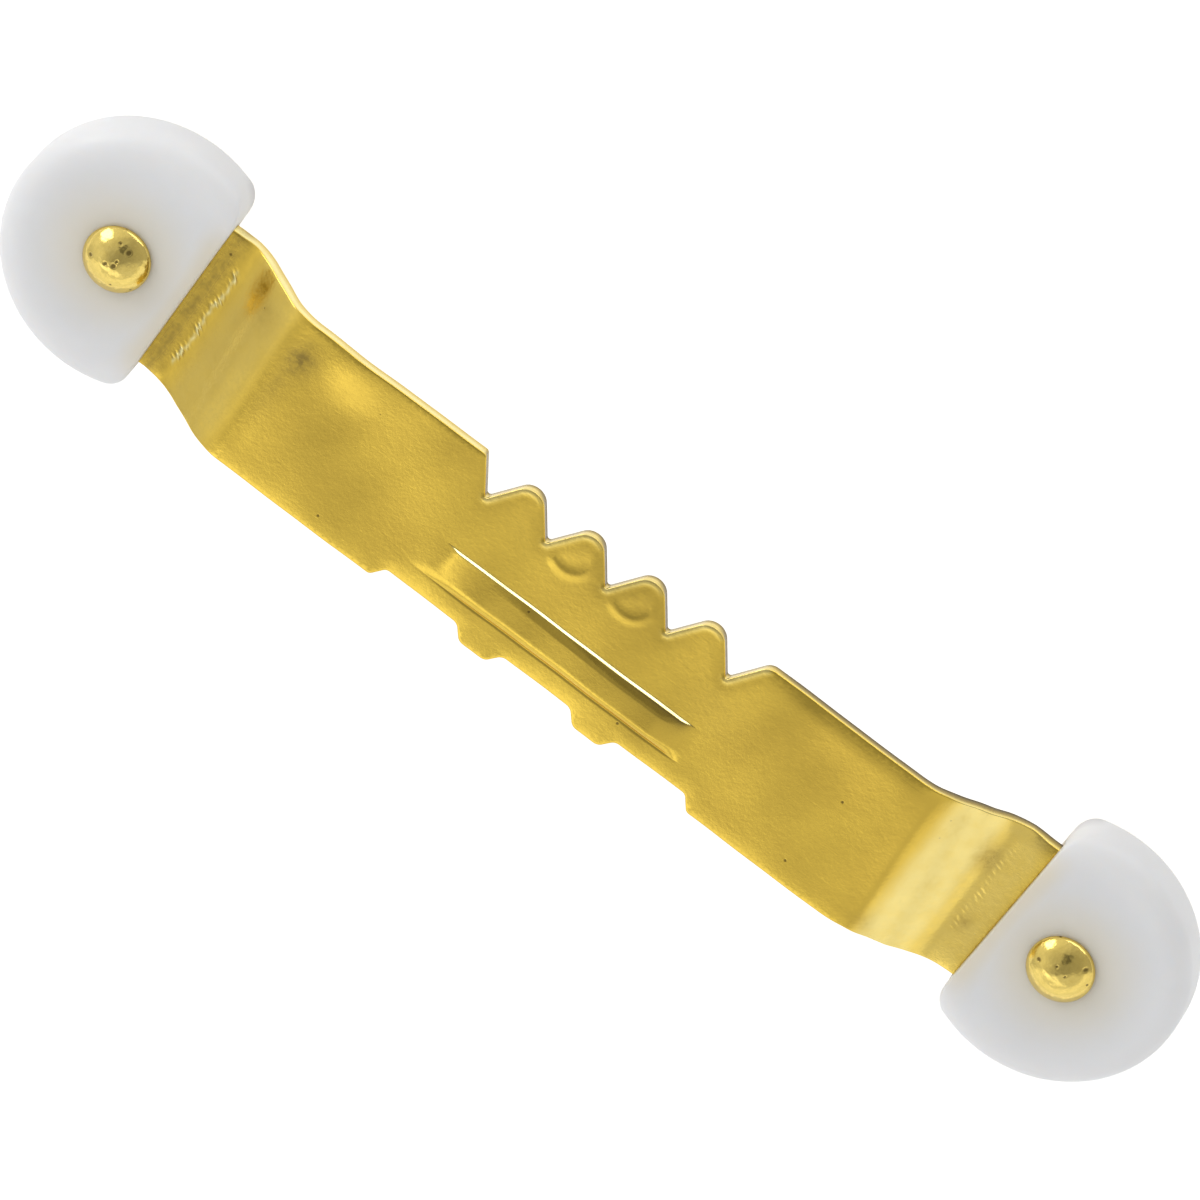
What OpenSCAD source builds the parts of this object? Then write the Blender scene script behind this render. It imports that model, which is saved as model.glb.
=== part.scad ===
// Sawtooth picture hanger: a stamped and bent strip held at each end in a
// half-round plastic cap, with a pre-fitted nail through each cap.
// Millimetres, +Z away from the picture frame, +Y towards the teeth.
// Origin: midway between the nails, on the plane that the caps rest on.

/* [Strip] */
// Width of the metal strip
strip_w = 7.9; // [7.4:0.1:8.2]
// Thickness of the metal
strip_t = 0.65; // [0.5:0.05:0.8]
// Distance between the two nail axes
nail_spacing = 50; // [48:0.5:60]
// Height of the raised middle above the ends
rise = 2.6; // [2.3:0.05:3]
// Offset of teeth, bead and dents along the strip
pattern_shift = -0.1; // [-0.5:0.05:0.5]

/* [Bends] */
// Slope of the left bend, degrees
left_slope = 41; // [37:0.5:46]
// Inside radius of the left bend
left_bend_r = 1.4; // [0.8:0.1:1.8]
// Left nail axis to the foot of its bend
left_foot = 4.1; // [3.8:0.05:5]
// Slope of the right bend, degrees
right_slope = 34; // [31:0.5:40]
// Inside radius of the right bend
right_bend_r = 2.75; // [1.5:0.05:3.2]
// Right nail axis to the foot of its bend
right_foot = 3.95; // [3.8:0.05:5]

/* [Teeth] */
// Number of full teeth, an even number
tooth_count = 4; // [2:2:6]
// Distance from tooth to tooth
tooth_pitch = 3.175; // [2.9:0.025:3.5]
// Depth of the valleys below the strip's edge
tooth_depth = 1.8; // [1.4:0.05:2]
// Radius of a tooth's crest
crest_r = 0.65; // [0.4:0.05:0.75]
// Radius at the bottom of a valley
valley_r = 0.12; // [0.08:0.01:0.2]
// Radius of the corner left of the row
left_corner_r = 0.2; // [0.1:0.05:0.8]
// Radius of the corner right of the row
right_corner_r = 0.6; // [0.1:0.05:0.8]

/* [Lower edge] */
// Length of the recess at the strip's edge
recess_l = 16.95; // [14:0.05:18]
// Depth of the recess
recess_d = 0.68; // [0.4:0.02:0.8]
// Length of the sloping step at each end of the recess
recess_step = 0.5; // [0.4:0.05:0.8]
// Radius at the corners of the recess
recess_r = 0.3; // [0.1:0.05:0.4]
// Distance between the two nubs
nub_spacing = 6; // [5:0.1:7]
// Width of a nub where it leaves the recess
nub_base = 2.4; // [2.2:0.1:2.8]
// Width of a nub between its sloping sides at the tip
nub_tip = 1.35; // [1.2:0.05:1.6]
// Radius at the corners of a nub
nub_r = 0.45; // [0.15:0.05:0.55]

/* [Bead and dents] */
// Length of the raised bead
bead_l = 13.8; // [10:0.1:15]
// Width of the bead at the strip's face
bead_w = 1.7; // [1.4:0.05:1.9]
// Height of the bead above the strip's face
bead_h = 0.45; // [0.35:0.05:0.55]
// Thickness of metal over the bead's hollow
bead_wall = 0.5; // [0.4:0.01:0.55]
// Distance of the bead's axis below the strip's middle line
bead_y = 1.37; // [1.1:0.01:1.6]
// Radius of a round dent at the strip's face
dent_r = 0.85; // [0.6:0.05:0.95]
// Depth of a dent
dent_d = 0.2; // [0.1:0.05:0.3]
// Distance of the dents above the strip's middle line
dent_y = 2.22; // [2:0.02:2.4]

/* [Caps] */
// Radius of a cap's round side
cap_r = 6; // [5.8:0.05:6.5]
// Nail axis to the centre of the round side, inboard
cap_shift = 0.55; // [0.3:0.05:0.8]
// Nail axis to the cap's straight side, inboard
cap_flat = 3.2; // [3:0.05:3.3]
// Thickness of plastic under the strip
cap_floor = 1.1; // [0.8:0.05:1.5]
// Thickness of plastic over the strip
cap_roof = 0.9; // [0.7:0.05:1.2]
// Radius of a cap's upper edge on its round side
cap_top_r = 0.9; // [0.4:0.05:1]
// Radius of a cap's lower edge on its round side
cap_low_r = 0.6; // [0.3:0.05:0.75]
// Radius of the two upright corners
cap_corner_r = 0.8; // [0.4:0.05:1]
// Clearance over and under the strip in the slot
slot_gap = 0.03; // [0.02:0.01:0.06]
// Clearance at each side of the strip in the slot
slot_side_gap = 0.25; // [0.24:0.01:0.3]
// Turn of the left cap about its nail, degrees
left_turn = 0; // [-2.5:0.1:2.5]
// Turn of the right cap about its nail, degrees
right_turn = -2.4; // [-2.5:0.1:2.5]

/* [Nails] */
// Diameter of a nail's shank
shank_d = 1.6; // [1.4:0.05:1.7]
// Number of grip ridges on the neck, the stretch inside the cap
ridge_count = 6; // [3:1:8]
// Height of the grip ridges
ridge_h = 0.06; // [0.03:0.01:0.1]
// Length of a nail under its head
nail_l = 12; // [10:0.5:16]
// Length of the four-sided point
point_l = 2.6; // [1.8:0.1:3.2]
// Diameter of a nail's head
head_d = 2.95; // [2.6:0.05:3.4]
// Height of the head's upright rim
head_rim = 0.15; // [0.1:0.05:0.3]
// Height of the dome over the rim
head_dome = 0.78; // [0.5:0.02:0.9]
// Clearance around the neck in a cap
bore_gap = 0.03; // [0.02:0.01:0.05]
// Clearance around the neck in the strip
hole_gap = 0.2; // [0.15:0.01:0.3]

/* [Hidden] */
$fn = 96;
// How far a cutting shape runs past the face that it cuts
over = 0.5;
// Steps in the arc of a corner, a bend and a round end
corner_n = 6;
bend_n = 10;
end_n = 24;
nail_x = nail_spacing / 2;
half_w = strip_w / 2;
plate_z = cap_floor + slot_gap;
slot_h = strip_t + 2 * slot_gap;
cap_h = cap_floor + slot_h + cap_roof;
mid_z = plate_z + rise;
mid_top = mid_z + strip_t;
brass = [0.80, 0.64, 0.27];
brass_nail = [0.84, 0.67, 0.25];
plastic = [0.92, 0.92, 0.90];

// Angle of a tooth's flank, from the line that touches crest and valley arcs
flank_dy = tooth_depth - crest_r - valley_r;
flank_reach = norm([tooth_pitch / 2, flank_dy]);
flank = atan2(flank_dy, tooth_pitch / 2) + asin((crest_r + valley_r) / flank_reach);
crest_tip_y = half_w - crest_r + crest_r / cos(flank);
valley_tip_y = half_w - tooth_depth + valley_r - valley_r / cos(flank);
first_valley = pattern_shift - tooth_count * tooth_pitch / 2;
last_valley = pattern_shift + tooth_count * tooth_pitch / 2;
row_margin = (half_w - valley_tip_y) / tan(flank);

// Balls of the bead, the dents and the nail's dome, and the neck's radius
bead_r = (pow(bead_w / 2, 2) + pow(bead_h, 2)) / (2 * bead_h);
bead_z = mid_top + bead_h - bead_r;
bead_half = bead_l / 2 - bead_w / 2;
dent_ball = (pow(dent_r, 2) + pow(dent_d, 2)) / (2 * dent_d);
dent_z = mid_top - dent_d + dent_ball;
neck_r = shank_d / 2 + ridge_h;
dome_ball = (pow(head_d / 2, 2) + pow(head_dome, 2)) / (2 * head_dome);

function unit(v) = v / norm(v);

// Points of an arc that rounds the corner b between a and c
function corner_arc(a, b, c, r) =
    let (d1 = unit(a - b), d2 = unit(c - b), half = acos(d1 * d2) / 2)
    let (m = b + unit(d1 + d2) * r / sin(half))
    let (p1 = b + d1 * r / tan(half) - m, p2 = b + d2 * r / tan(half) - m)
    let (a1 = atan2(p1[1], p1[0]), a2 = atan2(p2[1], p2[0]))
    let (turn = (a2 - a1 + 540) % 360 - 180)
    [for (i = [0:corner_n]) m + r * [cos(a1 + turn * i / corner_n), sin(a1 + turn * i / corner_n)]];

function flat2(p) = [p[0], p[1]];

// Outline through points [x, y, radius], with an arc where the radius isn't 0
function rounded(pts) =
    let (n = len(pts))
    [for (i = [0:n - 1])
        each (pts[i][2] > 0
            ? corner_arc(flat2(pts[(i + n - 1) % n]), flat2(pts[i]), flat2(pts[(i + 1) % n]), pts[i][2])
            : [flat2(pts[i])])];

// Half circle about [x, 0] from an angle on, as points with no radius
function half_round(x, r, from) =
    [for (i = [0:end_n]) let (a = from + 180 * i / end_n) [x + r * cos(a), r * sin(a), 0]];

function nub(x) = [
    [x - nub_base / 2, recess_d - half_w, nub_r],
    [x - nub_tip / 2, -half_w, nub_r],
    [x + nub_tip / 2, -half_w, nub_r],
    [x + nub_base / 2, recess_d - half_w, nub_r]
];

function lower_edge() = concat(
    [[-recess_l / 2, -half_w, recess_r]],
    [[-recess_l / 2 + recess_step, recess_d - half_w, recess_r]],
    nub(-nub_spacing / 2),
    nub(nub_spacing / 2),
    [[recess_l / 2 - recess_step, recess_d - half_w, recess_r]],
    [[recess_l / 2, -half_w, recess_r]]
);

// Tooth row from right to left: a valley, then a crest, and so on
function tooth_edge() = concat(
    [[last_valley + row_margin, half_w, right_corner_r]],
    [for (i = [0:2 * tooth_count])
        [last_valley - i * tooth_pitch / 2,
            i % 2 == 0 ? valley_tip_y : crest_tip_y,
            i % 2 == 0 ? valley_r : crest_r]],
    [[first_valley - row_margin, half_w, left_corner_r]]
);

function plate_outline() = rounded(concat(
    lower_edge(), half_round(nail_x, half_w, -90), tooth_edge(), half_round(-nail_x, half_w, 90)));

function bend_run(slope, r) =
    let (mid_r = r + strip_t / 2, straight = (rise - 2 * mid_r * (1 - cos(slope))) / sin(slope))
    2 * mid_r * sin(slope) + straight * cos(slope);

// One face of a bend from its foot upwards: low_r and high_r are that face's radii
function bend_face(slope, r, low_r, high_r) = concat(
    [for (i = [0:bend_n]) let (a = slope * i / bend_n)
        [low_r * sin(a), strip_t + r - low_r * cos(a)]],
    [for (i = [0:bend_n]) let (a = slope * (1 - i / bend_n))
        [bend_run(slope, r) - high_r * sin(a), rise - r + high_r * cos(a)]]
);

function bend_top(slope, r) = bend_face(slope, r, r, r + strip_t);
function bend_under(slope, r) = bend_face(slope, r, r + strip_t, r);
function on_left(pts) = [for (p = pts) [left_foot - nail_x + p[0], p[1]]];
function on_right(pts) = [for (p = pts) [nail_x - right_foot - p[0], p[1]]];
function backwards(pts) = [for (i = [len(pts) - 1:-1:0]) pts[i]];

function plate_side() = concat(
    [[-nail_x - strip_w, 0]],
    on_left(bend_under(left_slope, left_bend_r)),
    backwards(on_right(bend_under(right_slope, right_bend_r))),
    [[nail_x + strip_w, 0], [nail_x + strip_w, strip_t]],
    on_right(bend_top(right_slope, right_bend_r)),
    backwards(on_left(bend_top(left_slope, left_bend_r))),
    [[-nail_x - strip_w, strip_t]]
);

// Rounded bar along X with ball ends, for the bead and its hollow
module bead_bar(r) {
    translate([pattern_shift, -bead_y, bead_z]) {
        rotate([0, 90, 0])
            cylinder(r = r, h = 2 * bead_half, center = true);
        for (s = [-1, 1])
            translate([s * bead_half, 0, 0])
                sphere(r = r);
    }
}

module at_dents() {
    for (s = [-1, 1])
        translate([pattern_shift + s * tooth_pitch / 2, dent_y, dent_z])
            children();
}

module hanger_plate() {
    color(brass)
    difference() {
        intersection() {
            translate([0, 0, plate_z - over])
                linear_extrude(height = rise + strip_t + bead_h + 2 * over)
                    polygon(plate_outline());
            union() {
                translate([0, 0, plate_z])
                    rotate([90, 0, 0])
                        linear_extrude(height = strip_w + 2 * over, center = true)
                            polygon(plate_side());
                difference() {
                    bead_bar(bead_r);
                    translate([pattern_shift, -bead_y, mid_z + strip_t / 2 - strip_w])
                        cube([2 * bead_l, strip_w, 2 * strip_w], center = true);
                }
                difference() {
                    at_dents()
                        sphere(r = dent_ball + strip_t);
                    translate([pattern_shift, dent_y, mid_z + strip_t / 2 + strip_w])
                        cube([4 * tooth_pitch, 2 * strip_w, 2 * strip_w], center = true);
                }
            }
        }
        bead_bar(bead_r - bead_wall);
        at_dents()
            sphere(r = dent_ball);
        for (s = [-1, 1])
            translate([s * nail_x, 0, plate_z - over])
                cylinder(r = neck_r + hole_gap, h = strip_t + 2 * over);
    }
}

// Plan of a cap about its nail axis: a straight side at +X, and the line that
// touches the round side at each end of it, so the corners can be rounded
function cap_outline() =
    let (across = cap_flat - cap_shift, corner_y = sqrt(pow(cap_r, 2) - pow(across, 2)))
    let (far_x = cap_flat - 3 * corner_y, far_y = corner_y + 3 * across)
    [[cap_flat, -corner_y, cap_corner_r], [cap_flat, corner_y, cap_corner_r],
        [far_x, far_y, 0], [far_x, -far_y, 0]];

// What a rounded edge takes off the corner of a section at [r, r]
module edge_cut(r) {
    difference() {
        square(r + over);
        circle(r = r);
    }
}

// Half of a cap's section, turned about the middle of the round side
module cap_section() {
    difference() {
        square([cap_r, cap_h]);
        translate([cap_r - cap_top_r, cap_h - cap_top_r])
            edge_cut(cap_top_r);
        translate([cap_r - cap_low_r, cap_low_r])
            mirror([0, 1])
                edge_cut(cap_low_r);
    }
}

// Plan of the slot: round about the nail axis, open at the straight side
function slot_outline() = concat(
    half_round(0, half_w + slot_side_gap, 90),
    [[2 * cap_r, -half_w - slot_side_gap, 0], [2 * cap_r, half_w + slot_side_gap, 0]]);

module cap() {
    difference() {
        intersection() {
            translate([cap_shift, 0, 0])
                rotate_extrude()
                    cap_section();
            translate([0, 0, -over])
                linear_extrude(height = cap_h + 2 * over)
                    polygon(rounded(cap_outline()));
        }
        translate([0, 0, cap_floor])
            linear_extrude(height = slot_h)
                polygon(rounded(slot_outline()));
        translate([0, 0, -over])
            cylinder(r = neck_r + bore_gap, h = cap_h + 2 * over);
    }
}

module left_cap() {
    color(plastic)
    translate([-nail_x, 0, 0])
        rotate([0, 0, left_turn])
            cap();
}

module right_cap() {
    color(plastic)
    translate([nail_x, 0, 0])
        rotate([0, 0, 180 + right_turn])
            cap();
}

// Wedge with its edge along X, for two of the point's four faces
module point_wedge() {
    rotate([90, 0, 90])
        linear_extrude(height = 2 * shank_d, center = true)
            polygon([[0, 0], [shank_d, 2 * point_l], [shank_d, nail_l + over],
                [-shank_d, nail_l + over], [-shank_d, 2 * point_l]]);
}

// Half of a nail's section under its head: shank, then grip ridges
function nail_side() =
    let (r = shank_d / 2, pitch = cap_h / ridge_count)
    concat(
        [[0, cap_h - nail_l], [r, cap_h - nail_l]],
        [for (i = [0:ridge_count - 1]) each [[r, i * pitch], [neck_r, (i + 0.5) * pitch]]],
        [[r, cap_h], [r, cap_h + head_rim / 2], [0, cap_h + head_rim / 2]]);

module nail() {
    intersection() {
        rotate_extrude()
            polygon(nail_side());
        translate([0, 0, cap_h - nail_l])
            intersection() {
                point_wedge();
                rotate([0, 0, 90])
                    point_wedge();
            }
    }
    translate([0, 0, cap_h])
        intersection() {
            translate([0, 0, head_rim + head_dome - dome_ball])
                sphere(r = dome_ball);
            cylinder(r = head_d / 2, h = head_rim + head_dome + over);
        }
}

module left_nail() {
    color(brass_nail)
    translate([-nail_x, 0, 0])
        nail();
}

module right_nail() {
    color(brass_nail)
    translate([nail_x, 0, 0])
        nail();
}

hanger_plate();
left_cap();
right_cap();
left_nail();
right_nail();
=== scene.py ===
# Sawtooth picture hanger in a plain white studio: a brass strip, two plastic caps and two nails
import math

import bmesh
import bpy
import numpy as np
from mathutils import Matrix, Vector
from mathutils.geometry import delaunay_2d_cdt


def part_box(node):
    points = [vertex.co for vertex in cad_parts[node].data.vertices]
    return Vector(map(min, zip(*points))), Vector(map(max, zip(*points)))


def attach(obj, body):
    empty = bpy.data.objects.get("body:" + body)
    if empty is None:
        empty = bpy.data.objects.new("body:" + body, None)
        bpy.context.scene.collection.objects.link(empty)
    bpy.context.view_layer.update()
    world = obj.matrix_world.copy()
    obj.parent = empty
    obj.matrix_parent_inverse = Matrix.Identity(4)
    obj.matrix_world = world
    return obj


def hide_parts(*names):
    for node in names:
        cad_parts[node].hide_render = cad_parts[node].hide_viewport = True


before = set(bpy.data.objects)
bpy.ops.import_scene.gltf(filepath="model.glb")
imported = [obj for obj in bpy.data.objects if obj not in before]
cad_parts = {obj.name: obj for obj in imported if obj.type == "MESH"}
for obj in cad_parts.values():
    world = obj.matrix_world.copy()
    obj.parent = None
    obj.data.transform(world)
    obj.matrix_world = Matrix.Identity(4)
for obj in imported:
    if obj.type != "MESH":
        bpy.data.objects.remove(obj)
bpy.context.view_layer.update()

# Metres in a millimetre: shapes are worked out in millimetres
MM = 0.001


def node_box(name):
    """Lowest and highest corner of a solid, in millimetres."""
    low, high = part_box(name)
    return np.array(low) / MM, np.array(high) / MM


# Places taken from the solids
PLATE_LOW, PLATE_HIGH = node_box("hanger_plate")
CAP_HIGH = node_box("left_cap")[1]
NAIL_LOW, NAIL_HIGH = node_box("right_nail")
NAIL_X = (NAIL_LOW[0] + NAIL_HIGH[0]) / 2
HALF_W = (PLATE_HIGH[1] - PLATE_LOW[1]) / 2
PLATE_Z = PLATE_LOW[2]
CAP_H = CAP_HIGH[2]
NAIL_TIP = NAIL_LOW[2]
HEAD_TOP = NAIL_HIGH[2]
# The heads are seen a little larger than the solids'
HEAD_OUT = 0.05
HEAD_R = (NAIL_HIGH[0] - NAIL_LOW[0]) / 2 + HEAD_OUT

# Strip: thickness, and how far its middle stands above its ends
STRIP_T = 0.65
RISE = 2.6
# Bends: nail axis to foot, slope in degrees, inside radius, softening of the bend's ends
LEFT_BEND = (4.1, 41, 1.4, 0.45)
RIGHT_BEND = (3.95, 34, 2.75, 0.16)

# Tooth row, and the zone in which its edges are worn
TOOTH_COUNT = 4
TOOTH_PITCH = 3.175
TOOTH_DEPTH = 1.64
TOOTH_X = -0.09
CREST_R = 0.74
VALLEY_R = 0.14
LEFT_CORNER_R = 0.22
LEFT_LEAN = 0.12
RIGHT_CORNER_R = 0.6
TEETH_LEFT = -7.3
TEETH_RIGHT = 7.6
TEETH_LOW = 1.5
TEETH_SOFT = 0.2

# Long edges: how far they stand out from the solid's, where that ends before the caps, roundings
UPPER_OUT = 0.04
LOWER_OUT = 0.05
SLOPE_END = 20.5
CAP_END = 21.4
SLOPE_R = 1
EASE_R = 3
# On the right slope the lower edge bulges and the upper one dips
BULGE_X = 18.6
BULGE_L = 2.0
BULGE = 0.14
DIP = 0.07

# Recess in the lower edge, and the two nubs in it
RECESS_LEFT = -8.475
RECESS_RIGHT = 8.33
RECESS_D = 0.68
RECESS_STEP = 0.5
RECESS_R = 0.3
NUB_X = -0.04
NUB_SPACING = 6.0
NUB_BASE = 2.4
NUB_TIP = 1.35
NUB_R = 0.45

# Bead: a steep flank on the tooth side, a crest that rises to the right, a rounded lower side
BEAD_LEFT = -7.6
BEAD_RIGHT = 6.9
FADE_LEFT = 4.0
FADE_RIGHT = 2.0
FLANK_Y = -0.42
FLANK_W = 0.085
FLANK_H = 0.13
FLANK_LEFT = BEAD_LEFT + 1.4
FLANK_RIGHT = BEAD_RIGHT - 0.7
FLANK_FADE = 0.35
FLANK_SOFT = 0.02
CREST_Y = -1.84
CREST_LEFT = 0.167
CREST_RIGHT = 0.36
CREST_RISE = (-5.5, 4)
BROW_W = 0.4
BROW_POWER = 1.5
CLIMB = 0.04
LOWER_W = 0.46
LOWER_POWER = 2
CREASE_W = 0.06
CREASE_D = 0.03
UNDER_SHARE = 0.9

# Dents, each with a lip round the half that faces DENT_WAY
DENT_R = 0.8
DENT_ROUND = (0.05, -0.25)
DENT_D = 0.014
DENT_LIP = 0.022
DENT_RISE = 0.16
DENT_REACH = 0.42
DENT_X = -0.42
DENT_Y = 2.8
DENT_WAY = (0.6, -0.8)
DENT_HALF = (-0.1, 0.5)

# Lip of the sheet below the bead, and the slight waves that rolling and bending left
LIP_Y = -2.45
LIP_W = 0.8
LIP_FALL = 0.008
LIP_END = (0.2, 0.6)
# Waves: height, length along x, length along y, phase
WAVES = [(0.022, 8.3, 11.0, 0.4), (0.010, 3.1, -9.0, 1.9)]
WAVE_END = (21, 19)
# Waves of the slopes: height, length along x, skew, and where they start and end
SLOPE_WAVE = (0.018, 1.35, 0.12)
SLOPE_START = (15.5, 17)
SLOPE_STOP = (20.2, 19)
# Low swellings: x, y, height, radius
HILLS = [(-13.6, 3.7, 0.15, 1.5), (12.0, 4.1, 0.06, 1.7)]
# Groove across the strip by the left cap
GROOVE_X = -21.4
GROOVE_W = 0.22
GROOVE_D = 0.02

# Edge of the stamping: a small round above and below, and a wall that leans out on the tooth side
RIM_W = 0.07
RIM_H = 0.07
LEAN = 0.06
LEAN_FROM = (1.4, 2.4)
BURR = 0.03
# Wide shallow fall of the face towards its edge: width, curve, and depth by place
ROLL_W = 0.6
ROLL_CURVE = 0.3
ROLL_LEFT = 0.0
ROLL_TEETH = 0.02
ROLL_RIGHT = 0.05
ROLL_LOWER = 0.015
ROLL_TEETH_FROM = (-8, -5)
ROLL_RIGHT_FROM = (4, 10)

# Rows of nicks that the bending tool left: x, from y, to y, depth
NICKS = [(-20.5, -3.1, 2.7, 0.035), (20.3, -2.4, 2.9, 0.012)]
NICK_PITCH = 0.31
NICK_W = 0.16
NICK_SHINE = 0.07
NICK_SLANT = 0.6
NICK_END = 0.2
# Unevenness of the rows: size and rate along y of their wander, their spacing and their depth
NICK_WANDER = [(0.06, 2.3), (0.03, 9.7)]
NICK_SPACING = [(0.05, 7.3), (0.035, 19.1)]
NICK_DEPTH = (0.35, 4.1)
# Painted highlight along a row of nicks: strength, size and rate of its unevenness, gain over the
# nicks
NICK_SHEEN = 0.8
SHEEN_UNEVEN = (0.3, 13)
NICK_GAIN = 1.4

# Teeth edges on the flanks and crests that face the way in which they are worn and lit: strength
# and width of their painted highlight, height, width and curve of their lip, and the share by which
# their round is smaller
WORN_AND_LIT_WAY = (0.6, -0.8)
TOOTH_HIGHLIGHT = 0.6
TOOTH_HIGHLIGHT_W = 0.16
RAISE = 0.038
RAISE_W = 0.3
RAISE_POWER = 1.5
SHARPER = 0.6

# Stains on the strip: x, y, length along x, length along y, strength. The long one beside the left
# cap, at x -21.3, is painted shade from the cap.
STAIN_AND_SHADE_SPOTS = [(-16.1, 2.4, 0.7, 0.8, 0.9), (-16.4, 0.4, 0.5, 1.8, 0.4), (-21.3, 0.0, 0.5, 9.0, 0.8),
          (19.75, 1.8, 0.45, 0.75, 0.7), (20.6, -1.6, 0.3, 0.4, 0.5), (17.0, -3.4, 0.5, 0.5, 0.4),
          (-18.6, 2.5, 0.5, 0.6, 0.35), (0.0, 2.9, 7.0, 1.3, 0.27), (6.8, 0.8, 1.8, 1.4, 0.27)]
# Painted shade in the corner under the bead's flank: strength, width, and where it grows along x
CORNER_SHADE = 0.95
CORNER_SHADE_W = 0.25
CORNER_SHADE_RISE = (-2, 5)
# Slopes with a painted pale sheen: from x, to x, strength
SHEEN_SLOPES = [(-20.0, -17.4, 0.14), (17.2, 19.5, 0.5), (19.5, 21.6, 0.2)]
SHEEN_SOFT = 0.45
# Sheared wall: where its left and right parts start and are full, and how much the brim along the
# lower edge is darkened
WALL_LEFT = (-6, -8)
WALL_RIGHT = (7, 9)
LOWER_BRIM_DARKENING = 0.5
# Width of the brighter plating along the edge
EDGE_W = 0.25

# Caps: a round of CAP_R about a point CAP_SHIFT inwards of the nail, cut straight at CAP_FLAT
CAP_R = 5.995
CAP_SHIFT = 0.55
CAP_FLAT = 3.26
CAP_CORNER_R = 1.6
CAP_FLOOR = 1.1
SLOT_TOP = 1.81
SLOT_GAP = 0.25
SLOT_HALF = HALF_W + SLOT_GAP
SHOULDER_W = 1.1
SHOULDER_H = 0.9
FOOT_R = 0.6
CRISP_R = 0.1
CRISP_ZONE = (0.6, 0.1)
CAP_RING = 0.7
# Painted warm glow of brass light reflected in and showing through the plastic: strength and reach
# at the nail, width over the strip
BRASS_GLOW = 0.9
BRASS_GLOW_REACH = (4.5, 1.3)
BRASS_GLOW_W = 1.4
# Painted shade round the cap's foot: width, and heights between which it fades
FOOT_SHADE_W = 0.15
FOOT_SHADE_FADE = (0.5, 0.1)
# Degrees by which each cap is turned about its nail
TURNS = {"left": 0.0, "right": -2.4}

# Nails
SHANK_R = 0.8
RIDGE_H = 0.06
RIDGES = 6
POINT_L = 2.6
HEAD_RIM = 0.15
# Pits in the heads: depth, soft edge in radii, and for each x and y from the nail's axis and radius
PIT_D = 0.03
PIT_EDGE = (1.3, 0.6)
PITS = {"left": [(-0.25, -0.05, 0.09), (0.09, 0.1, 0.12), (0.1, 0.34, 0.08), (0.29, 0.9, 0.13),
                 (-1.0, -0.29, 0.1), (-0.22, 1.0, 0.06)],
        "right": [(-0.21, 0.42, 0.07), (-1.0, 0.05, 0.1), (0.84, 0.9, 0.1), (0.32, 0.27, 0.05)]}
HEAD_DOME = HEAD_TOP - CAP_H - HEAD_RIM
RIM_ROUND = 0.1
BORE_GAP = 0.03
HOLE_GAP = 0.2
BORE_R = SHANK_R + RIDGE_H + BORE_GAP
HOLE_R = SHANK_R + RIDGE_H + HOLE_GAP

# Spacing of mesh points
ARC_STEP = 0.06
CORNER_MIN = 6
EDGE_STEP = 0.2
# Rows of points along the strip's edge, from the end of its round, and where the grid starts
EDGE_ROWS = (0.07, 0.16, 0.27, 0.4)
ROW_SHARE = 0.97
FIELD_GAP = 0.48
HOLE_MARGIN = 0.1
SIDE_STEP = 0.02
GRID_STEP = 0.24
CAP_GRID = 0.3
CAP_MARGIN = 0.1
BORE_MARGIN = 0.2
FINE_STEP = 0.09
NICK_STEP = 0.05
BROW_STEP = 0.03
BEAD_STEP = 0.018
# How far the closer meshes reach past the bead, its brow, a dent's middle and a row of nicks
BEAD_MARGIN = 0.3
BROW_MARGIN = 0.08
DENT_BOX = (-1.3, 1.7, -1.7, 1.0)
NICK_BOX = (0.45, 0.1)
# Numbers of steps: edge rounds, a cap's straight side and slot, a nail's dome, shank, point, turn
ROUND_STEPS = 4
CAP_STEPS = 12
FLAT_STEPS = 4
SLOT_STEPS = 42
RUN_STEPS = 8
DOME_STEPS = 40
SHANK_STEPS = 5
POINT_STEPS = 13
TURN_STEPS = 144


def unit(v):
    return v / np.linalg.norm(v)


def smooth(low, high, v):
    """Smooth step from 0 at low to 1 at high."""
    t = np.clip((v - low) / (high - low), 0, 1)
    return t * t * (3 - 2 * t)


def band(low, high, soft, v):
    """1 between low and high, and 0 outside, with soft ends."""
    return smooth(low - soft, low + soft, v) * smooth(high + soft, high - soft, v)


def quarter(share):
    """Fall of a quarter round: 0 where share is 0, and 1 at its edge."""
    return 1 - np.sqrt(1 - np.clip(share, 0, 1) ** 2)


# Outlines


def arc(centre, r, start, turn):
    """Points of an arc from one angle, in radians, through a turn."""
    n = max(CORNER_MIN, math.ceil(abs(turn) * r / ARC_STEP))
    a = start + turn * np.arange(n + 1) / n
    return np.array(centre) + r * np.column_stack([np.cos(a), np.sin(a)])


def corner_arc(a, b, c, r):
    """Arc of radius r that rounds the corner b between a and c."""
    d1, d2 = unit(a - b), unit(c - b)
    half = math.acos(d1 @ d2) / 2
    centre = b + unit(d1 + d2) * r / math.sin(half)
    start = b + d1 * r / math.tan(half) - centre
    end = b + d2 * r / math.tan(half) - centre
    a1 = math.atan2(start[1], start[0])
    turn = (math.atan2(end[1], end[0]) - a1 + math.pi) % (2 * math.pi) - math.pi
    return arc(centre, r, a1, turn)


def rounded(corners):
    """Outline through corners (x, y, radius)."""
    corners = np.array(corners, float)
    out = []
    for before, at, after in zip(np.roll(corners, 1, 0), corners, np.roll(corners, -1, 0)):
        if at[2] > 0:
            out.extend(corner_arc(before[:2], at[:2], after[:2], at[2]))
        else:
            out.append(at[:2])
    return np.array(out)


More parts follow.
